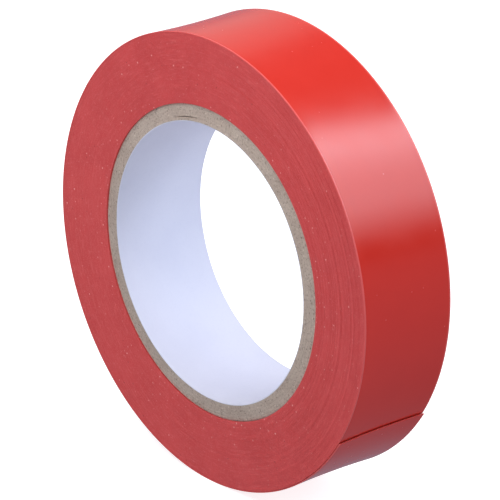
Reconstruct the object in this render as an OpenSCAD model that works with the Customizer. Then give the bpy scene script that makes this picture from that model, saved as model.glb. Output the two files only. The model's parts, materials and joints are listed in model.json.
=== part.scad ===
// Roll of PVC electrical tape, standing on its rim.
// Millimetres, +Z up. The roll's axis lies along Y, and the origin is the middle of the core's bore.
// Angles are seen from the front (the -Y side), anticlockwise from +X.

/* [Tape] */
// Width of the tape, and so of the whole roll
tape_w = 15; // [12:0.5:19]
// Thickness of the PVC film
film_t = 0.13; // [0.10:0.01:0.18]
// Thickness of the adhesive coat on the film's inner side
adhesive_t = 0.03; // [0.02:0.01:0.05]
// Turns of tape on the core
turns = 62; // [40:1:70]

/* [Core] */
// Diameter of the bore through the core
bore_d = 39.4; // [38:0.1:42]
// Thickness of the white paper liner
liner_t = 0.1; // [0.05:0.05:0.4]
// Number of grey board plies glued round the liner
plies = 5; // [3:1:6]
// Thickness of one board ply
ply_t = 0.46; // [0.3:0.01:0.6]
// Width of the butt gap between the two edges of a ply
seam_gap = 0.1; // [0.05:0.05:0.5]
// Lean of the ply seams from the roll's axis
seam_lean = 35; // [20:1:50]

/* [Free end] */
// Angle of the cut end of the tape
end_angle = -32.3; // [-60:0.1:0]
// Number of links that stand for the flexible free end
links = 6; // [3:1:8]
// Arc of the roll that one link covers, in degrees
link_arc = 7; // [5:0.5:8]
// Slit between two links
link_gap = 0.08; // [0.05:0.01:0.15]
// Gap between the free end and the turn below it
lift = 0.05; // [0.03:0.01:0.1]

/* [Hidden] */
$fn = 180;
tape_t = film_t + adhesive_t;
bore_r = bore_d / 2;
core_r = bore_r + liner_t + plies * ply_t;
roll_r = core_r + turns * tape_t;
// The winding is a spiral of quarter arcs. Each arc is this much larger than the one before it,
// and its centre is moved back by as much, so that the arcs meet smoothly.
quarter_step = tape_t / 4;
// The winding's sectors start inside the core's wall, and the core's space is then cut out.
sector_r = core_r / 2;
// How far a cutting shape runs past what it cuts
overcut = 5;
// The slit between two links, as an angle at the roll's rim
gap_angle = link_gap / roll_r * 180 / PI;
// The first ply seam, and the turn from one ply's seam to the next
first_seam = 15;
seam_turn = 153;

// Direction of an angle in the plane of the roll.
function unit(angle) = [cos(angle), sin(angle), 0];

// Start angle of quarter q of the spiral. Quarter 0 starts under the cut end, and 3 ends at it.
function quarter_start(q) = end_angle + 90 * q;

// Centre of quarter q. The four centres are the corners of a square about the origin.
function quarter_centre(q) =
    quarter_step / 2 * (unit(quarter_start(q) + 180) + unit(quarter_start(q) + 90));

// Outer radius of the last turn in quarter q.
function turn_r(q) = roll_r - (3 - q) * quarter_step;

// Start angle of link k of the free end. Link 1 is the one next to the roll.
function link_start(k) = quarter_start(4) - (links - k + 1) * link_arc;

// Turns what is drawn about Z so that it lies about Y, with its angles seen from the front.
module about_y() rotate([90, 0, 0]) children();

// Part of a ring between two radii, as wide as the tape, from one angle to another.
module arc_band(r_in, r_out, from, to)
    rotate([0, 0, from])
        rotate_extrude(angle = to - from)
            translate([r_in, -tape_w / 2])
                square([r_out - r_in, tape_w]);

// A ring of the core, open along one leaning butt seam.
module ply_ring(r_in, thickness, seam_angle)
    about_y()
        difference() {
            cylinder(h = tape_w, r = r_in + thickness, center = true);
            cylinder(h = tape_w + overcut, r = r_in, center = true);
            rotate([0, 0, seam_angle])
                translate([r_in, 0, 0])
                    rotate([seam_lean, 0, 0])
                        cube([2 * overcut, seam_gap, tape_w / cos(seam_lean) + overcut], center = true);
        }

// White paper strip that lines the bore.
module core_liner() color("lavender") ply_ring(bore_r, liner_t, first_seam);

// Grey board strip number k of the core, counted from the bore outwards.
module core_ply(k)
    color("rosybrown")
        ply_ring(bore_r + liner_t + (k - 1) * ply_t, ply_t, first_seam + k * seam_turn);

// All the turns under the last one. They stick together face to face and are one solid.
module tape_winding()
    color("indianred")
        about_y()
            difference() {
                union()
                    for (q = [0:3])
                        translate(quarter_centre(q))
                            arc_band(sector_r, turn_r(q) - tape_t, quarter_start(q), quarter_start(q + 1));
                cylinder(h = tape_w + overcut, r = core_r, center = true);
            }

// A layer of the last turn, from under the cut end round to the free end's root.
// depth is how far the layer's outer face lies below the film's.
module outer_turn(depth, thickness)
    about_y()
        for (q = [0:3])
            translate(quarter_centre(q))
                arc_band(
                    turn_r(q) - depth - thickness,
                    turn_r(q) - depth,
                    quarter_start(q),
                    q < 3 ? quarter_start(q + 1) : link_start(1) - gap_angle / 2
                );

module outer_turn_film() color("red") outer_turn(0, film_t);

module outer_turn_adhesive() color("maroon") outer_turn(film_t, adhesive_t);

// A layer of link k of the free end.
module free_end(k, depth, thickness)
    about_y()
        translate(quarter_centre(3))
            arc_band(
                roll_r + lift - depth - thickness,
                roll_r + lift - depth,
                link_start(k) + gap_angle / 2,
                link_start(k + 1) - (k < links ? gap_angle / 2 : 0)
            );

module free_end_film(k) color("red") free_end(k, 0, film_t);

module free_end_adhesive(k) color("maroon") free_end(k, film_t, adhesive_t);

core_liner();
for (k = [1:plies]) core_ply(k);
tape_winding();
outer_turn_film();
outer_turn_adhesive();
for (k = [1:links]) free_end_film(k);
for (k = [1:links]) free_end_adhesive(k);
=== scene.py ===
import json
import math
import bmesh
import bpy
import numpy as np
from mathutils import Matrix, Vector


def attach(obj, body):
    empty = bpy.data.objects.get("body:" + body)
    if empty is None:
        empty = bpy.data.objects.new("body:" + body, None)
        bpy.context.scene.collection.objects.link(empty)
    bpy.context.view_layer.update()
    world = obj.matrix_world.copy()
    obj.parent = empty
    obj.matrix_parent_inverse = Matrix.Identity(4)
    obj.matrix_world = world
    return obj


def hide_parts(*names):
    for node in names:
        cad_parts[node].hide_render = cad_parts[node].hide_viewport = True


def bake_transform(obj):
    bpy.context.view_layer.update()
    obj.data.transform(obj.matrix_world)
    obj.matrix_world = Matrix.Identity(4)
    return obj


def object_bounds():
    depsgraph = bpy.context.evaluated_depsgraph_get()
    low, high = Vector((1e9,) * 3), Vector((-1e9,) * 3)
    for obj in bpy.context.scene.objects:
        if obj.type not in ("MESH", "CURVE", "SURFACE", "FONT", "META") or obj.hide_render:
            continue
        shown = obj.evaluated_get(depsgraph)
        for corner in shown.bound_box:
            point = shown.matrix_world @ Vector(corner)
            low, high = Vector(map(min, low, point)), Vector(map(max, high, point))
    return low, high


# A roll of red PVC electrical tape standing on its rim. The roll's axis is Y, and the origin is the middle
# of the bore. Lengths are metres. Angles are degrees from +X, anticlockwise as seen from the front (-Y).
# A place along the wound tape is its turn, counted from the core, so it grows by one each time round.
# On the side faces, side 0 is the front and side 1 the back.

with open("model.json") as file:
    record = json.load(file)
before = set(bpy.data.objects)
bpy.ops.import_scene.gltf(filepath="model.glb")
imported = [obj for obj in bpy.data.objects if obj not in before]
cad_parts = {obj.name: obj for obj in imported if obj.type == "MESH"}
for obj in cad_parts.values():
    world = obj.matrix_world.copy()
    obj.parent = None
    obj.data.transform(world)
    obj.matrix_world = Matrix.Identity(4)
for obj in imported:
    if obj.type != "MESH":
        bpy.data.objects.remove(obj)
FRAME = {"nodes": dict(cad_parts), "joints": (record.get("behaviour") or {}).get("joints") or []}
CAD_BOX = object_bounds()
MM = 0.001

# The tape and its winding, as the CAD model has them
FILM = 0.13 * MM
ADHESIVE = 0.03 * MM
TAPE = FILM + ADHESIVE
TURNS = 62
LINER = 0.1 * MM
# The core's butt seams, in degrees: their lean from the axis, where the liner's is, and the turn from each
# to the next
SEAM_LEAN = 35
FIRST_SEAM = 15
SEAM_TURN = 153

# What only this script has. The wound face is hollow across its width, by this much in the middle
DISH = 0.17 * MM
# The side faces of the wound tape stand this far in from the CAD's, and each turn's edge varies about that
SIDE_INSET = 0.04 * MM
# The visible gap of a butt seam in the core
SEAM_GAP = 0.06 * MM
# The board's end faces stand this far in, and lie this much deeper at the tape than at the bore
BOARD_INSET = 0.03 * MM
CORE_SLOPE = 0.32 * MM
# How rough the board's end faces are, and how much deeper they are where two plies meet
BOARD_ROUGHNESS = 0.05 * MM
PLY_EDGE = 0.012 * MM
# The crack between plies 1 and 2 in the front end face: its middle and half length in degrees, and depth
CRACK_ANGLE = 103
CRACK_HALF = 6
CRACK_DEPTH = 0.3 * MM
# The liner's ends stand this far in, and wave and fray by this much
LINER_INSET = 0.05 * MM
LINER_WAVE = 0.03 * MM
LINER_NICK = 0.012 * MM
# The film's slit edges are rounded over this width, and drop by this much
EDGE_ROUND = 0.11 * MM
EDGE_DROP = 0.03 * MM
# The adhesive ends this far in from the film's edges
ADHESIVE_INSET = 0.08 * MM
# How far the free end's tip stands off the turn below, and how slowly it starts to rise from its root
TIP_LIFT = 0.1 * MM
LIFT_POWER = 1.3
# The uneven shape of the cut end fades out over this part of a turn
CUT_REACH = 0.0012
# The film's waviness: its height, its steps round the roll, and the step it starts from
WAVE = 0.003 * MM
WAVE_STEPS = 144
WAVE_START = 36

# Steps round the roll for one turn of each kind of piece
WOUND_STEPS = 360
FILM_STEPS = 720
PLY_STEPS = 720
# Points outwards across the end face of one ply, and stops across the width of a piece of the core
PLY_COLUMNS = 6
CORE_STOPS = 15
# Points across the film's outer face between its rounded edges, and across each hidden face
FILM_STOPS = 15
HIDDEN_STOPS = 5
# Rows of points across the outer wall of the wound turns
WALL_ROWS = 9
# Fewest rows of points along a stretch of the free end
LEAST_ROWS = 4

# The camera, as the photo has it: its direction in degrees, its distance, and its lens in millimetres
CAMERA_AZIMUTH = 49.94
CAMERA_ELEVATION = 21.85
CAMERA_DISTANCE = 0.5137
CAMERA_LENS = 272.5
CAMERA_SHIFT = 0.0009

# The floor reaches this far each way, and its own glow keeps it as pale as the photo's table
FLOOR_REACH = 6.0
FLOOR_GREY = (0.50, 0.50, 0.50)
FLOOR_GLOW = 0.85
FLOOR_GLOW_COLOUR = (0.97, 0.985, 1.0)


def node_radii(node):
    """Smallest and largest distance of a CAD node's vertices from the roll's axis."""
    mesh = FRAME["nodes"][node].data
    radii = [math.hypot(v.co.x, v.co.z) for v in mesh.vertices]
    return min(radii), max(radii)


def peel_angles():
    """The angle of each peel hinge, from the root of the free end outwards."""
    joints = [j for j in FRAME["joints"] if j["name"].startswith("peel_")]
    joints.sort(key=lambda j: j["name"])
    return [math.degrees(math.atan2(j["pos_m"][2], j["pos_m"][0])) for j in joints]


HINGES = peel_angles()
LINKS = len(HINGES)
LINK_ARC = HINGES[1] - HINGES[0]
END_ANGLE = HINGES[-1] + LINK_ARC
PLIES = len([n for n in FRAME["nodes"] if n.startswith("core_ply_")])
HALF_WIDTH = (CAD_BOX[1].y - CAD_BOX[0].y) / 2
BORE_R = node_radii("core_liner")[0]
CORE_R = node_radii(f"core_ply_{PLIES}")[1]
PLY = (CORE_R - BORE_R - LINER) / PLIES
# The spiral's outer face is this far from the axis where turn 0 would start
SPIRAL_R = CORE_R + TAPE / 8


def turn_at(angle):
    """The turn of a point of the free end, from its angle."""
    return TURNS - (END_ANGLE - angle) / 360


def dish(y):
    """How far the wound face lies below its edges at a place across the width."""
    return DISH * (1 - np.clip(np.abs(y) / HALF_WIDTH, 0, 1) ** 2)


def turn_angle(turn):
    """The angle of a turn, in radians."""
    return np.radians(END_ANGLE + 360 * (turn - TURNS))


def top_radius(turn):
    """Distance from the axis to the outer face of the tape."""
    return SPIRAL_R + TAPE * turn


def smooth_noise(count, spread, seed):
    """Periodic random values between -1 and 1, smoothed over about spread steps."""
    rng = np.random.default_rng(seed)
    values = np.fft.rfft(rng.uniform(-1, 1, count))
    steps = np.arange(len(values))
    values *= np.exp(-0.5 * (2 * math.pi * steps * spread / count / 2) ** 2)
    values[0] = 0
    made = np.fft.irfft(values, count)
    return made / np.abs(made).max()


def polar(angle, radius, y):
    """Points from angles in radians, radii and places along the axis."""
    angle, radius, y = np.broadcast_arrays(angle, radius, y)
    return np.stack([radius * np.cos(angle), y, radius * np.sin(angle)], axis=-1)


def add_mesh(name, points, faces, sharp=40):
    """A new mesh object with outward normals, smooth apart from edges sharper than that many degrees."""
    mesh = bpy.data.meshes.new(name)
    mesh.from_pydata(np.asarray(points).reshape(-1, 3).tolist(), [], faces)
    solid = bmesh.new()
    solid.from_mesh(mesh)
    bmesh.ops.recalc_face_normals(solid, faces=solid.faces)
    solid.to_mesh(mesh)
    solid.free()
    mesh.polygons.foreach_set("use_smooth", [True] * len(mesh.polygons))
    mesh.set_sharp_from_angle(angle=math.radians(sharp))
    piece = bpy.data.objects.new(name, mesh)
    bpy.context.scene.collection.objects.link(piece)
    return piece


def sweep(name, rows):
    """A closed tube through rows of points, one closed profile to a row, with flat ends."""
    count, size = rows.shape[:2]
    faces = []
    for i in range(count - 1):
        for j in range(size):
            k = (j + 1) % size
            faces.append((i * size + j, i * size + k, (i + 1) * size + k, (i + 1) * size + j))
    faces.append(tuple(range(size)))
    faces.append(tuple((count - 1) * size + j for j in range(size)))
    return add_mesh(name, rows, faces)


# ---------------------------------------------------------------- materials

# Linear colours. The first two of each material are its ground, and the rest are laid over that
FILM_GROUND = ((0.63, 0.021, 0.010), (0.67, 0.024, 0.011))
FILM_EDGE = (0.74, 0.088, 0.088)
FILM_BURR = (0.85, 0.17, 0.16)
FILM_SCRATCH = (0.85, 0.16, 0.15)
SLIT_GROUND = ((0.655, 0.066, 0.070), (0.71, 0.078, 0.083))
SLIT_BAND = (0.64, 0.060, 0.061)
SLIT_SMEAR = (0.84, 0.17, 0.175)
SLIT_DUST = (0.88, 0.22, 0.22)
SLIT_GLUE = (0.40, 0.038, 0.038)
SLIT_FLECK = (0.90, 0.42, 0.42)
SLIT_DOT = (0.95, 0.46, 0.46)
SLIT_FIBRE = (0.88, 0.34, 0.34)
# Painted shade for small pits in the slit faces
SLIT_PIT_SHADE = (0.26, 0.025, 0.027)
ADHESIVE_GROUND = ((0.22, 0.010, 0.010), (0.32, 0.018, 0.018))
BOARD_GROUND = ((0.46, 0.37, 0.325), (0.53, 0.44, 0.39))
BOARD_FIBRE = (0.66, 0.575, 0.505)
BOARD_SHADE = (0.245, 0.195, 0.168)
BOARD_PALE = (0.80, 0.71, 0.63)
BOARD_FLECK = (0.16, 0.13, 0.115)
# Painted shade for the grooves where two plies meet
BOARD_PLY_SHADE = (0.24, 0.19, 0.16)
PAPER_GROUND = ((0.66, 0.675, 0.81), (0.69, 0.705, 0.835))
PAPER_PULP = (0.61, 0.625, 0.76)


class Finish:
    """A material under construction, with short calls for the nodes that the finishes share."""

    def __init__(self, name):
        self.material = bpy.data.materials.new(name)
        self.material.use_nodes = True
        self.tree = self.material.node_tree
        self.shader = self.tree.nodes["Principled BSDF"]
        self.place = self.node("ShaderNodeTexCoord").outputs["Object"]
        self.split = self.node("ShaderNodeSeparateXYZ")
        self.join(self.place, self.split.inputs[0])
        self.x, self.y, self.z = self.split.outputs[:3]
        square_x = self.math("MULTIPLY", self.x, self.x)
        square_z = self.math("MULTIPLY", self.z, self.z)
        self.radius = self.math("SQRT", self.math("ADD", square_x, square_z))
        self.along_x = self.math("DIVIDE", self.x, self.radius)
        self.along_z = self.math("DIVIDE", self.z, self.radius)

    def node(self, kind, **settings):
        made = self.tree.nodes.new(kind)
        for key, value in settings.items():
            setattr(made, key, value)
        return made

    def join(self, source, target):
        """Links a socket to an input, or sets the input to a plain value."""
        if isinstance(source, bpy.types.NodeSocket):
            self.tree.links.new(source, target)
        else:
            target.default_value = source

    def math(self, operation, a, b=0.0):
        made = self.node("ShaderNodeMath", operation=operation)
        self.join(a, made.inputs[0])
        self.join(b, made.inputs[1])
        return made.outputs[0]

    def clamp_map(self, value, low, high, to_low=0.0, to_high=1.0):
        """Value from low..high to to_low..to_high, eased and held at the ends."""
        made = self.node("ShaderNodeMapRange", interpolation_type="SMOOTHSTEP")
        for key, part in zip(("From Min", "From Max", "To Min", "To Max"), (low, high, to_low, to_high)):
            made.inputs[key].default_value = part
        self.join(value, made.inputs["Value"])
        return made.outputs[0]

    def wrapped(self, along, across, outward=0.0):
        """Noise coordinates that follow the roll: along the tape, across its width and outwards."""
        made = self.node("ShaderNodeCombineXYZ")
        self.join(self.math("MULTIPLY", self.along_x, along), made.inputs[0])
        self.join(self.math("MULTIPLY", self.along_z, along), made.inputs[1])
        crossing = self.math("MULTIPLY", self.y, across)
        rising = self.math("MULTIPLY", self.radius, outward)
        self.join(self.math("ADD", crossing, rising), made.inputs[2])
        return made.outputs[0]

    def noise(self, vector, scale=1.0, detail=3.0, rough=0.55):
        made = self.node("ShaderNodeTexNoise")
        self.join(vector, made.inputs["Vector"])
        made.inputs["Scale"].default_value = scale
        made.inputs["Detail"].default_value = detail
        made.inputs["Roughness"].default_value = rough
        return made.outputs[0]

    def specks(self, vector, scale, size, share):
        """Small spots, one in that share of the cells, that size as a part of a cell."""
        cells = self.node("ShaderNodeTexVoronoi")
        self.join(vector, cells.inputs["Vector"])
        cells.inputs["Scale"].default_value = scale
        shade = self.node("ShaderNodeSeparateColor")
        self.join(cells.outputs["Color"], shade.inputs[0])
        chosen = self.clamp_map(shade.outputs[0], 1 - share, 1 - share * 0.8)
        near = self.clamp_map(cells.outputs["Distance"], size * 0.5, size, 1.0, 0.0)
        return self.math("MULTIPLY", chosen, near)

    def mix(self, share, a, b):
        """Colour a where share is 0 and b where it is 1."""
        made = self.node("ShaderNodeMix", data_type="RGBA")
        self.join(share, made.inputs["Factor"])
        for part, socket in ((a, made.inputs[6]), (b, made.inputs[7])):
            self.join((*part, 1.0) if isinstance(part, tuple) else part, socket)
        return made.outputs[2]

    def laid(self, colour, share, amount, over):
        """A colour with another over it, by that amount where share is 1."""
        return self.mix(self.math("MULTIPLY", share, amount), colour, over)

    def bump(self, height, distance, under=None):
        """Relief that is distance metres deep, over another one if it is given."""
        made = self.node("ShaderNodeBump")
        made.inputs["Strength"].default_value = 1.0
        made.inputs["Distance"].default_value = distance
        self.join(height, made.inputs["Height"])
        if under is not None:
            self.join(under, made.inputs["Normal"])
        return made.outputs[0]

    def done(self, colour, rough, normal):
        self.join(colour, self.shader.inputs["Base Color"])
        self.join(rough, self.shader.inputs["Roughness"])
        self.join(normal, self.shader.inputs["Normal"])
        return self.material


def film_finish():
    """Glossy red PVC film, a little streaked along the tape and dull along its two cut edges."""
    f = Finish("red_pvc_film")
    cloud = f.noise(f.wrapped(9.0, 260.0), detail=3.0)
    streak = f.noise(f.wrapped(3.0, 2600.0, 2600.0), detail=2.0)
    grain = f.noise(f.wrapped(260.0, 8000.0, 8000.0), detail=2.0)
    off_middle = f.math("ABSOLUTE", f.y)

    def rim(start, end):
        """Rises from 0 to 1 between two distances from the film's edges, in millimetres."""
        return f.clamp_map(off_middle, HALF_WIDTH - start * MM, HALF_WIDTH - end * MM)

    edge = rim(0.18, 0.12)
    burr = f.math("SUBTRACT", rim(0.28, 0.18), edge)
    colour = f.mix(cloud, *FILM_GROUND)
    colour = f.mix(edge, colour, FILM_EDGE)
    colour = f.laid(colour, burr, 0.6, FILM_BURR)
    scratch = f.specks(f.wrapped(22.0, 900.0), 1.0, 0.10, 0.25)
    colour = f.laid(colour, scratch, 0.10, FILM_SCRATCH)
    rough = f.math("ADD", f.clamp_map(cloud, 0.3, 0.7, 0.19, 0.23), f.math("MULTIPLY", edge, 0.34))
    rough = f.math("ADD", rough, f.math("MULTIPLY", scratch, 0.15))
    rough = f.math("ADD", rough, f.math("MULTIPLY", streak, 0.05))
    normal = f.bump(streak, 0.0016 * MM)
    normal = f.bump(grain, 0.0006 * MM, under=normal)
    f.shader.inputs["IOR"].default_value = 1.6
    return f.done(colour, rough, normal)


def slit_finish():
    """The slit edges of the wound tape: a dusty dull red with a fine line to each turn."""
    f = Finish("slit_tape_edges")
    around = f.math("ARCTAN2", f.z, f.x)
    turns_out = f.math("DIVIDE", f.math("SUBTRACT", f.radius, SPIRAL_R - TAPE), TAPE)
    start = f.math("DIVIDE", f.math("SUBTRACT", around, math.radians(END_ANGLE)), 2 * math.pi)
    phase = f.math("FRACT", f.math("SUBTRACT", turns_out, start))
    glue = f.clamp_map(phase, 0.10, 0.22, 1.0, 0.0)
    glue = f.math("MAXIMUM", glue, f.clamp_map(phase, 0.93, 1.0))
    band = f.noise(f.wrapped(0.5, 0.0, 2300.0), detail=3.0, rough=0.7)
    smear = f.noise(f.wrapped(14.0, 0.0, 4200.0), detail=3.0, rough=0.65)
    dust = f.noise(f.place, 900.0, 4.0, 0.65)
    fine = f.noise(f.place, 5200.0, 3.0, 0.7)
    blotch = f.noise(f.place, 170.0, 2.0)
    colour = f.mix(f.clamp_map(blotch, 0.25, 0.75), *SLIT_GROUND)
    colour = f.mix(f.clamp_map(band, 0.40, 0.68, 0.0, 0.32), colour, SLIT_BAND)
    colour = f.mix(f.clamp_map(smear, 0.50, 0.75, 0.0, 0.40), colour, SLIT_SMEAR)
    colour = f.mix(f.clamp_map(fine, 0.5, 0.75, 0.0, 0.40), colour, SLIT_DUST)
    colour = f.laid(colour, glue, 0.22, SLIT_GLUE)
    inner = f.clamp_map(f.radius, CORE_R, CORE_R + 6.5 * MM, 1.0, 0.30)
    fleck = f.specks(f.place, 1250.0, 0.19, 0.26)
    colour = f.laid(colour, f.math("MULTIPLY", fleck, inner), 0.75, SLIT_FLECK)
    dot = f.specks(f.place, 620.0, 0.10, 0.40)
    colour = f.laid(colour, dot, 0.8, SLIT_DOT)
    fibre = f.specks(f.wrapped(34.0, 0.0, 2400.0), 1.0, 0.22, 0.18)
    colour = f.laid(colour, f.math("MULTIPLY", fibre, inner), 0.6, SLIT_FIBRE)
    # Small dark spots: painted shade of pits, which have no relief of their own
    pit_shade = f.specks(f.wrapped(26.0, 0.0, 1500.0), 1.0, 0.16, 0.10)
    colour = f.laid(colour, pit_shade, 0.45, SLIT_PIT_SHADE)
    rough = f.clamp_map(dust, 0.3, 0.7, 0.50, 0.68)
    normal = f.bump(smear, 0.016 * MM)
    normal = f.bump(fine, 0.010 * MM, under=normal)
    return f.done(colour, rough, normal)


def adhesive_finish():
    """The thin rubbery adhesive coat on the film's inner side."""
    f = Finish("dark_red_adhesive")
    mottle = f.noise(f.place, 1400.0, 4.0, 0.6)
    streak = f.noise(f.wrapped(4.0, 1800.0), detail=2.0)
    colour = f.mix(f.clamp_map(mottle, 0.3, 0.7), *ADHESIVE_GROUND)
    rough = f.clamp_map(streak, 0.3, 0.7, 0.34, 0.52)
    normal = f.bump(mottle, 0.006 * MM)
    return f.done(colour, rough, normal)


def board_finish():
    """Grey-brown recycled board, seen mostly at its cut ends, with fibres and dark flecks."""
    f = Finish("grey_core_board")
    cloud = f.noise(f.place, 330.0, 3.0)
    fibre = f.noise(f.wrapped(60.0, 1500.0, 4200.0), detail=4.0, rough=0.7)
    fine = f.noise(f.place, 3000.0, 5.0, 0.75)
    colour = f.mix(f.clamp_map(cloud, 0.3, 0.7), *BOARD_GROUND)
    colour = f.mix(f.clamp_map(fibre, 0.48, 0.72, 0.0, 0.6), colour, BOARD_FIBRE)
    colour = f.mix(f.clamp_map(fine, 0.50, 0.66, 0.0, 0.80), colour, BOARD_SHADE)
    pale = f.specks(f.place, 2300.0, 0.30, 0.22)
    colour = f.laid(colour, pale, 0.55, BOARD_PALE)
    fleck = f.specks(f.wrapped(30.0, 2100.0, 2100.0), 1.0, 0.26, 0.16)
    colour = f.laid(colour, fleck, 0.75, BOARD_FLECK)
    # Darker towards the edges of each ply: painted shade of the grooves where two plies meet
    layer = f.math("FRACT", f.math("DIVIDE", f.math("SUBTRACT", f.radius, BORE_R + LINER), PLY))
    off_centre = f.math("ABSOLUTE", f.math("SUBTRACT", layer, 0.5))
    colour = f.mix(f.clamp_map(off_centre, 0.40, 0.5, 0.0, 0.30), colour, BOARD_PLY_SHADE)
    rough = f.clamp_map(fine, 0.2, 0.8, 0.78, 0.95)
    normal = f.bump(fibre, 0.05 * MM)
    normal = f.bump(fine, 0.04 * MM, under=normal)
    return f.done(colour, rough, normal)


def liner_finish():
    """Smooth bluish white paper."""
    f = Finish("white_liner_paper")
    cloud = f.noise(f.place, 120.0, 3.0)
    pulp = f.noise(f.place, 2600.0, 4.0, 0.6)
    colour = f.mix(f.clamp_map(cloud, 0.3, 0.7), *PAPER_GROUND)
    colour = f.mix(f.clamp_map(pulp, 0.5, 0.8, 0.0, 0.25), colour, PAPER_PULP)
    rough = f.clamp_map(pulp, 0.3, 0.7, 0.62, 0.78)
    normal = f.bump(pulp, 0.008 * MM)
    return f.done(colour, rough, normal)


FILM_RED = film_finish()
SLIT_RED = slit_finish()
ADHESIVE_RED = adhesive_finish()
BOARD = board_finish()
PAPER = liner_finish()


def finish_piece(piece, material, slot, *nodes):
    """Gives a piece its material and hides those CAD nodes, which it replaces. slot is not used."""
    piece.data.materials.append(material)
    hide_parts(*nodes)
    return piece


# ---------------------------------------------------------------- core


def rough_end(seed):
    """Heights of a cut end of board: places round it by columns outwards."""
    shared = smooth_noise(PLY_STEPS, 9, seed)
    made = []
    for j in range(PLY_COLUMNS):
        own = smooth_noise(PLY_STEPS, 5, seed + 1 + j)
        fine = smooth_noise(PLY_STEPS, 1.5, seed + 31 + j)
        made.append(BOARD_ROUGHNESS * (0.45 * shared + 0.35 * own + 0.2 * fine))
    return np.stack(made, axis=1)


def leaning_ring(name, inner, outer, seam, ends):
    """A ring open along one leaning seam. ends are how far the front and the back face stand in."""
    middle = (inner + outer) / 2
    gap_angle = SEAM_GAP / middle
    angles = np.radians(seam) + np.linspace(gap_angle / 2, 2 * math.pi - gap_angle / 2, PLY_STEPS)
    across = np.linspace(-HALF_WIDTH, HALF_WIDTH, CORE_STOPS)[1:-1]
    front, back = ends
    columns = front.shape[1]
    radii = np.linspace(inner, outer, columns)
    lean = math.tan(math.radians(SEAM_LEAN)) / middle

    def row(radius, y):
        return polar(angles + y * lean, radius, y)

    rows = [row(radii[j], -HALF_WIDTH + front[:, j]) for j in range(columns)]
    rows += [row(outer, np.full(PLY_STEPS, y)) for y in across]
    rows += [row(radii[j], HALF_WIDTH - back[:, j]) for j in reversed(range(columns))]
    rows += [row(inner, np.full(PLY_STEPS, y)) for y in reversed(across)]
    return sweep(name, np.stack(rows, axis=1))


def crack_depth(seam):
    """How deep the crack is at each place round a ply with that seam."""
    around = np.degrees(np.linspace(0, 2 * math.pi, PLY_STEPS)) + seam
    lean = math.degrees(HALF_WIDTH * math.tan(math.radians(SEAM_LEAN)) / (CORE_R - PLY))
    off = np.abs((around - lean - CRACK_ANGLE + 180) % 360 - 180)
    return CRACK_DEPTH * np.clip(1 - off / CRACK_HALF, 0, 1) ** 0.4


def ply_end(k, side, seam):
    """An end face of board ply k: rough and sloping in outwards, with a crack between plies 1 and 2."""
    slope = CORE_SLOPE * (k - 1 + np.linspace(0, 1, PLY_COLUMNS)) / PLIES
    made = rough_end(100 * k + 50 * side) + BOARD_INSET + slope
    made[:, 0] += PLY_EDGE
    made[:, -1] += PLY_EDGE
    if side == 0 and k in (1, 2):
        made[:, -1 if k == 1 else 0] += crack_depth(seam)
    return made


def liner_end(side):
    """An end of the paper liner, cut a little unevenly."""
    wave = smooth_noise(PLY_STEPS, 30, 700 + side)
    nick = smooth_noise(PLY_STEPS, 2, 710 + side)
    edge = LINER_INSET + LINER_WAVE * wave + LINER_NICK * nick
    return np.stack([edge, edge], axis=1)


def build_liner():
    ends = [liner_end(side) for side in range(2)]
    liner = leaning_ring("liner_sleeve", BORE_R, BORE_R + LINER, FIRST_SEAM, ends)
    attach(finish_piece(liner, PAPER, "liner_paper", "core_liner"), "roll")


def build_plies():
    for k in range(1, PLIES + 1):
        inner = BORE_R + LINER + (k - 1) * PLY
        seam = FIRST_SEAM + k * SEAM_TURN
        ends = [ply_end(k, side, seam) for side in range(2)]
        ply = leaning_ring(f"board_ply_{k}", inner, inner + PLY, seam, ends)
        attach(finish_piece(ply, BOARD, "core_board", f"core_ply_{k}"), "roll")


# ---------------------------------------------------------------- wound turns

# Across one turn on a side face: how far out from its inner edge, as a part of the tape's thickness, and how
# far in from the face, in millimetres
TURN_PROFILE = ((0.0, 0.034), (0.20, 0.009), (0.60, 0.0), (0.96, 0.010))


def face_offsets():
    """How far each place along the whole tape stands proud of the side faces, front and back.

    Bands of a few turns stand proud together, and each turn drifts and jitters about its band.
    """
    count = TURNS * WOUND_STEPS
    made = []
    for side in range(2):
        bands = smooth_noise(count, 2.2 * WOUND_STEPS, 20 + side)
        drift = smooth_noise(count, 0.35 * WOUND_STEPS, 30 + side)
        jitter = smooth_noise(count, 12, 40 + side)
        made.append((0.020 * bands + 0.012 * drift + 0.004 * jitter) * MM)
    return made


OFFSETS = face_offsets()


def spiral_point(turn, out, depth, side):
    """Points on a side face: out is a share of the tape's thickness, depth is metres in from the face."""
    turn = np.asarray(turn, float)
    index = np.clip(np.round((turn - 1) * WOUND_STEPS).astype(int), 0, len(OFFSETS[0]) - 1)
    y = HALF_WIDTH - SIDE_INSET - depth + OFFSETS[side][index]
    return polar(turn_angle(turn), top_radius(turn) - TAPE + out * TAPE, y if side else -y)


def band_side(first, turns, side):
    """The points of a band of turns on one side face, and how to find one from its step and column."""
    steps = WOUND_STEPS
    points = []
    place = {}
    for j, (out, depth) in enumerate(TURN_PROFILE):
        count = (turns + 1) * steps + 1 if j == 0 else turns * steps + 1
        at = first + np.arange(count) / steps
        start = sum(len(p) for p in points)
        points.append(spiral_point(at, out, depth * MM, side))
        for i in range(count):
            place[i, j] = start + i
    for i in range(turns * steps + 1):
        place[i, len(TURN_PROFILE)] = place[i + steps, 0]
    return np.concatenate(points), place


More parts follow.
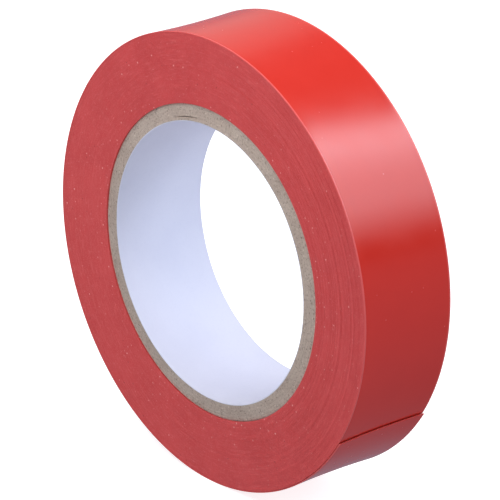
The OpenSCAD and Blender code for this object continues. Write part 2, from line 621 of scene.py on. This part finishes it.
def dished_wall(points, front, back, rows, faces):
    """The outer wall between two loops of points, hollow across its width. It returns the points it adds."""
    ends = [points[np.array(loop)] for loop in (front, back)]
    made = []
    loops = [front]
    radius = np.hypot(ends[0][:, 0], ends[0][:, 2])
    for share in np.linspace(0, 1, rows + 2)[1:-1]:
        row = ends[0] * (1 - share) + ends[1] * share
        scale = (radius - dish(row[:, 1])) / radius
        row[:, 0] *= scale
        row[:, 2] *= scale
        start = len(points) + sum(len(p) for p in made)
        loops.append(list(range(start, start + len(row))))
        made.append(row)
    loops.append(back)
    for a, b in zip(loops, loops[1:]):
        for i in range(len(a)):
            k = (i + 1) % len(a)
            faces.append((a[i], a[k], b[k], b[i]))
    return made


def close_on_core(points, place, first, faces):
    """Fills a side face between the core and the first turn. It returns all points, and the core's rim."""
    steps = WOUND_STEPS
    circle = len(points)
    at = turn_angle(first + np.arange(steps) / steps)
    across = points[[place[i, 0] for i in range(steps)], 1]
    for i in range(steps - 1):
        faces.append((circle + i, circle + i + 1, place[i + 1, 0], place[i, 0]))
    step_up = [place[0, j] for j in range(len(TURN_PROFILE))] + [place[steps, 0], place[steps - 1, 0]]
    faces.append(tuple([circle + steps - 1, circle] + step_up))
    rim = [circle + i for i in range(steps)]
    return np.concatenate([points, polar(at, CORE_R, across)]), rim


def band_face(first, turns, on_core, side):
    """A side face of a band of turns: its points, its faces, and the loops round its inside and outside."""
    points, place = band_side(first, turns, side)
    profile = len(TURN_PROFILE)
    end = turns * WOUND_STEPS
    faces = []
    for i in range(end):
        for j in range(profile):
            faces.append((place[i, j], place[i + 1, j], place[i + 1, j + 1], place[i, j + 1]))
    loops = []
    for start in (0, end):
        loop = [place[i, 0] for i in range(start, start + WOUND_STEPS + 1)]
        loops.append(loop + [place[start, j] for j in range(profile - 1, 0, -1)])
    inner, outer = loops
    if on_core:
        points, inner = close_on_core(points, place, first, faces)
    return points, faces, inner, outer


def band_piece(name, first, turns, on_core, rows):
    """A closed solid of a number of turns, starting at turn first, with every turn's edge on both faces."""
    points = []
    faces = []
    inner = []
    outer = []
    offset = 0
    for side in range(2):
        side_points, side_faces, inner_loop, outer_loop = band_face(first, turns, on_core, side)
        points.append(side_points)
        faces += [tuple(offset + v for v in face) for face in side_faces]
        inner.append([offset + v for v in inner_loop])
        outer.append([offset + v for v in outer_loop])
        offset += len(side_points)
    points = np.concatenate(points)
    dished_wall(points, inner[0], inner[1], 0, faces)
    added = dished_wall(points, outer[0], outer[1], rows, faces)
    return add_mesh(name, np.concatenate([points] + added), faces, sharp=50)


def build_winding():
    """The turns under the last one, as three bands one round the other."""
    names = ("wound_turns_inner", "wound_turns_middle", "wound_turns_outer")
    share = (TURNS - 2) // len(names)
    for n, name in enumerate(names):
        outermost = name == names[-1]
        piece = band_piece(name, 1 + n * share, share, n == 0, WALL_ROWS if outermost else 0)
        finish_piece(piece, SLIT_RED, "pvc_winding", "tape_winding")
        if outermost:
            piece.data.materials.append(FILM_RED)
            paint_wall(piece, top_radius(TURNS - 2))
        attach(piece, "roll")


def paint_wall(piece, radius):
    """The outer wall of the wound turns is bare film, which shows when the free end is peeled back."""
    for face in piece.data.polygons:
        centre = face.center
        if math.hypot(centre.x, centre.z) > radius - TAPE and abs(face.normal.y) < 0.3:
            face.material_index = 1


# ---------------------------------------------------------------- last turn and free end


def film_profile():
    """The film's cross-section: places across the width, and how far each lies below the outer face."""
    half = HALF_WIDTH
    flat = np.linspace(-half + EDGE_ROUND, half - EDGE_ROUND, FILM_STOPS)
    bends = np.radians([90, 67.5, 45, 22.5])
    left = [(-half + EDGE_ROUND - EDGE_ROUND * math.sin(a), EDGE_DROP * (1 - math.cos(a))) for a in bends]
    right = [(-y, depth) for y, depth in reversed(left)]
    top = left + [(y, 0.0) for y in flat] + right
    under = [(y, FILM) for y in np.linspace(half, -half, HIDDEN_STOPS)]
    return np.array(top + under)


def adhesive_profile():
    """The adhesive's cross-section, set in from the film's two edges."""
    half = HALF_WIDTH - ADHESIVE_INSET
    top = [(y, FILM) for y in np.linspace(-half, half, HIDDEN_STOPS)]
    under = [(y, TAPE) for y in np.linspace(half, -half, HIDDEN_STOPS)]
    return np.array(top + under)


def free_lift(turn):
    """How far the free end stands off the turn below, from nothing at its root to the most at its tip."""
    root = turn_at(HINGES[0])
    share = np.clip((np.asarray(turn) - root) / (TURNS - root), 0, 1)
    return TIP_LIFT * share**LIFT_POWER


FILM_WAVES = [smooth_noise(TURNS * WAVE_STEPS, 14, 60 + n) for n in range(3)]


def film_wave(turn, y):
    """Slight waviness of the film, which only shows in its gloss."""
    at = (np.asarray(turn) % 1.0) * WAVE_STEPS + WAVE_START
    low = np.floor(at).astype(int)
    part = at - low
    values = []
    for wave in FILM_WAVES:
        values.append(wave[low] * (1 - part) + wave[low + 1] * part)
    across = y / HALF_WIDTH
    return WAVE * (values[0] + values[1] * across + values[2] * (across**2 - 0.4))


def strip(name, profile, start, end, step, wavy, ragged=None):
    """A stretch of one layer of the tape between two turns, as a closed solid with step rows to a turn.

    wavy adds the film's waviness to its outer face. ragged(y) gives the shape of the cut end in degrees.
    """
    count = max(LEAST_ROWS, int(round((end - start) * step)) + 1)
    y = profile[:, 0][None, :]
    depth = profile[:, 1][None, :]
    turns = np.repeat(np.linspace(start, end, count)[:, None], len(profile), axis=1)
    if ragged is not None:
        share = np.clip((turns - turns[-1:, :] + CUT_REACH) / CUT_REACH, 0, 1)
        turns = turns + share * ragged(y) / 360
    radius = top_radius(turns) + free_lift(turns) - depth - dish(y)
    if wavy:
        radius = radius + film_wave(turns, y) * (depth <= EDGE_DROP)
    return sweep(name, polar(turn_angle(turns), radius, np.broadcast_to(y, turns.shape)))


def torn_edge(y):
    """How the cut end runs across the tape, in degrees: nearly straight, with a slight bow and nicks."""
    across = y / HALF_WIDTH
    slant = 0.20 * across - 0.08
    bow = 0.05 * across**2
    ripple = 0.018 * np.sin(9 * across + 1)
    nicks = 0.009 * np.sin(31 * across)
    return slant + bow + ripple + nicks


def build_outer_turn():
    root = turn_at(HINGES[0])
    film = strip("outer_film", film_profile(), TURNS - 1, root, FILM_STEPS, True)
    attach(finish_piece(film, FILM_RED, "pvc_film", "outer_turn_film"), "roll")
    glue = strip("outer_adhesive", adhesive_profile(), TURNS - 1, root, FILM_STEPS, False)
    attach(finish_piece(glue, ADHESIVE_RED, "adhesive", "outer_turn_adhesive"), "roll")


def build_free_end():
    """The free end in pieces: a piece runs from the middle of one link to that of the next."""
    kinds = (
        ("film", film_profile(), FILM_RED, "pvc_film", True),
        ("adhesive", adhesive_profile(), ADHESIVE_RED, "adhesive", False),
    )
    for kind, profile, material, slot, wavy in kinds:
        for k in range(1, LINKS + 1):
            start = HINGES[k - 1] - (LINK_ARC / 2 if k > 1 else 0)
            end = HINGES[k - 1] + LINK_ARC / 2
            span = (turn_at(start), turn_at(end))
            piece = strip(f"peel_{kind}_{k}", profile, *span, 2 * FILM_STEPS, wavy)
            finish_piece(piece, material, slot, f"free_end_{kind}_{k}")
            film_point(span[0])
            film_point(span[1])
            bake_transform(piece)
        tip = (turn_at(HINGES[-1] + LINK_ARC / 2), TURNS)
        piece = strip(f"peel_{kind}_tip", profile, *tip, 2 * FILM_STEPS, wavy, torn_edge)
        finish_piece(piece, material, slot, f"free_end_{kind}_{LINKS}")
        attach(piece, f"free_end_{LINKS}")


def film_point(turn):
    """The middle of the film's outer face at a turn."""
    return tuple(polar(turn_angle(turn), top_radius(turn), 0.0).tolist())


# ---------------------------------------------------------------- camera, light and floor


def direction(azimuth, elevation):
    """Unit vector from the roll towards a place round it: azimuth 0 is the front, 90 is +X."""
    turn = math.radians(azimuth)
    rise = math.radians(elevation)
    return Vector((math.sin(turn) * math.cos(rise), -math.cos(turn) * math.cos(rise), math.sin(rise)))


def add_camera():
    data = bpy.data.cameras.new("camera")
    camera = bpy.data.objects.new("camera", data)
    bpy.context.scene.collection.objects.link(camera)
    back = direction(CAMERA_AZIMUTH, CAMERA_ELEVATION)
    camera.location = back * CAMERA_DISTANCE
    camera.rotation_mode = "QUATERNION"
    camera.rotation_quaternion = (-back).to_track_quat("-Z", "Y")
    data.sensor_width = 36
    data.lens = CAMERA_LENS
    data.shift_y = CAMERA_SHIFT
    data.clip_start = 0.01
    data.clip_end = 20
    bpy.context.scene.camera = camera


# Light levels by height, from straight below to straight above: the sine of the elevation and the colour
SKY = (
    (-1.0, (0.20, 0.14, 0.17)),
    (-0.62, (0.28, 0.32, 0.40)),
    (-0.2, (0.28, 0.35, 0.43)),
    (0.3, (0.22, 0.25, 0.30)),
    (1.0, (0.24, 0.24, 0.24)),
)
# The back panel from its foot to its top. Its brighter bands are the highlights on the wound face
BACK_LEVELS = (0, 0, 0.22, 0.49, 0.43, 0.61, 1.0, 0.05)


def add_ramp(tree, value, stops):
    """A colour that runs through the stops, each a value from 0 to 1 and its colour."""
    ramp = tree.nodes.new("ShaderNodeValToRGB")
    elements = ramp.color_ramp.elements
    while len(elements) < len(stops):
        elements.new(1.0)
    for element, (position, colour) in zip(elements, stops):
        element.position = position
        element.color = (*colour, 1)
    tree.links.new(value, ramp.inputs[0])
    return ramp.outputs[0]


def add_sky():
    world = bpy.data.worlds.new("studio")
    world.use_nodes = True
    tree = world.node_tree
    place = tree.nodes.new("ShaderNodeTexCoord")
    split = tree.nodes.new("ShaderNodeSeparateXYZ")
    height = tree.nodes.new("ShaderNodeMapRange")
    height.inputs["From Min"].default_value = -1
    tree.links.new(place.outputs["Generated"], split.inputs[0])
    tree.links.new(split.outputs[2], height.inputs["Value"])
    shade = add_ramp(tree, height.outputs[0], [((rise + 1) / 2, colour) for rise, colour in SKY])
    tree.links.new(shade, tree.nodes["Background"].inputs["Color"])
    bpy.context.scene.world = world


def add_panel(name, centre, width, height, glow, tint=(1, 1, 1), levels=(1, 1), up=(0, 0, 1)):
    """A flat light that faces the roll, its height along up. levels grade it from its foot to its top."""
    centre = Vector(centre)
    facing = -centre.normalized()
    rising = (Vector(up) - Vector(up).dot(facing) * facing).normalized()
    side = rising.cross(facing)
    corners = []
    for x, y in ((-1, -1), (1, -1), (1, 1), (-1, 1)):
        corners.append(centre + side * (x * width / 2) + rising * (y * height / 2))
    mesh = bpy.data.meshes.new(name)
    mesh.from_pydata(corners, [], [(0, 1, 2, 3)])
    share = mesh.uv_layers.new(name="share")
    share.data.foreach_set("uv", [0, 0, 1, 0, 1, 1, 0, 1])
    panel = bpy.data.objects.new(name, mesh)
    bpy.context.scene.collection.objects.link(panel)
    panel.visible_camera = False
    panel.visible_shadow = False
    material = bpy.data.materials.new(name)
    material.use_nodes = True
    tree = material.node_tree
    tree.nodes.remove(tree.nodes["Principled BSDF"])
    lamp = tree.nodes.new("ShaderNodeEmission")
    lamp.inputs["Strength"].default_value = glow
    place = tree.nodes.new("ShaderNodeUVMap")
    place.uv_map = "share"
    split = tree.nodes.new("ShaderNodeSeparateXYZ")
    tree.links.new(place.outputs[0], split.inputs[0])
    stops = [(n / (len(levels) - 1), [level * part for part in tint]) for n, level in enumerate(levels)]
    tree.links.new(add_ramp(tree, split.outputs[1], stops), lamp.inputs["Color"])
    tree.links.new(lamp.outputs[0], tree.nodes["Material Output"].inputs["Surface"])
    mesh.materials.append(material)


def add_lights():
    """The key light above, a near one for the side face, highlights for the wound face, and weak fills.

    bore_panel stands in the bore's far mouth and only brightens the liner and the back face.
    """
    add_panel("key_panel", (0.0, -0.05, 0.42), 0.50, 0.40, 1.9, (1.14, 0.98, 0.86), up=(0, 1, 0))
    add_panel("near_panel", (-0.02, -0.10, 0.11), 0.08, 0.08, 4.0, (1.0, 0.99, 0.97))
    add_panel("back_panel", (0.466, 0.544, 0.383), 1.00, 0.74, 6.0, (0.96, 1.04, 1.15), BACK_LEVELS)
    add_panel("left_panel", (-0.75, 0.6, 0.36), 0.7, 0.6, 0.62)
    add_panel("low_panel", (0.25, -0.55, -0.35), 0.5, 0.5, 2.2, (1.05, 0.98, 0.85))
    add_panel("bore_panel", (0.016, 0.055, -0.016), 0.03, 0.03, 3.8, (1.0, 0.99, 1.1))


def add_floor():
    low = CAD_BOX[0].z
    mesh = bpy.data.meshes.new("floor")
    corners = [(x * FLOOR_REACH, y * FLOOR_REACH, low) for x, y in ((-1, -1), (1, -1), (1, 1), (-1, 1))]
    mesh.from_pydata(corners, [], [(0, 1, 2, 3)])
    floor = bpy.data.objects.new("floor", mesh)
    bpy.context.scene.collection.objects.link(floor)
    floor.visible_diffuse = False
    floor.visible_glossy = False
    floor.visible_shadow = False
    material = bpy.data.materials.new("pale_floor")
    material.use_nodes = True
    shader = material.node_tree.nodes["Principled BSDF"]
    shader.inputs["Base Color"].default_value = (*FLOOR_GREY, 1)
    shader.inputs["Roughness"].default_value = 0.6
    shader.inputs["Emission Color"].default_value = (*FLOOR_GLOW_COLOUR, 1)
    shader.inputs["Emission Strength"].default_value = FLOOR_GLOW
    mesh.materials.append(material)


bpy.context.scene.view_settings.view_transform = "Standard"
add_camera()
add_sky()
add_lights()
add_floor()
build_liner()
build_plies()
build_winding()
build_outer_turn()
build_free_end()
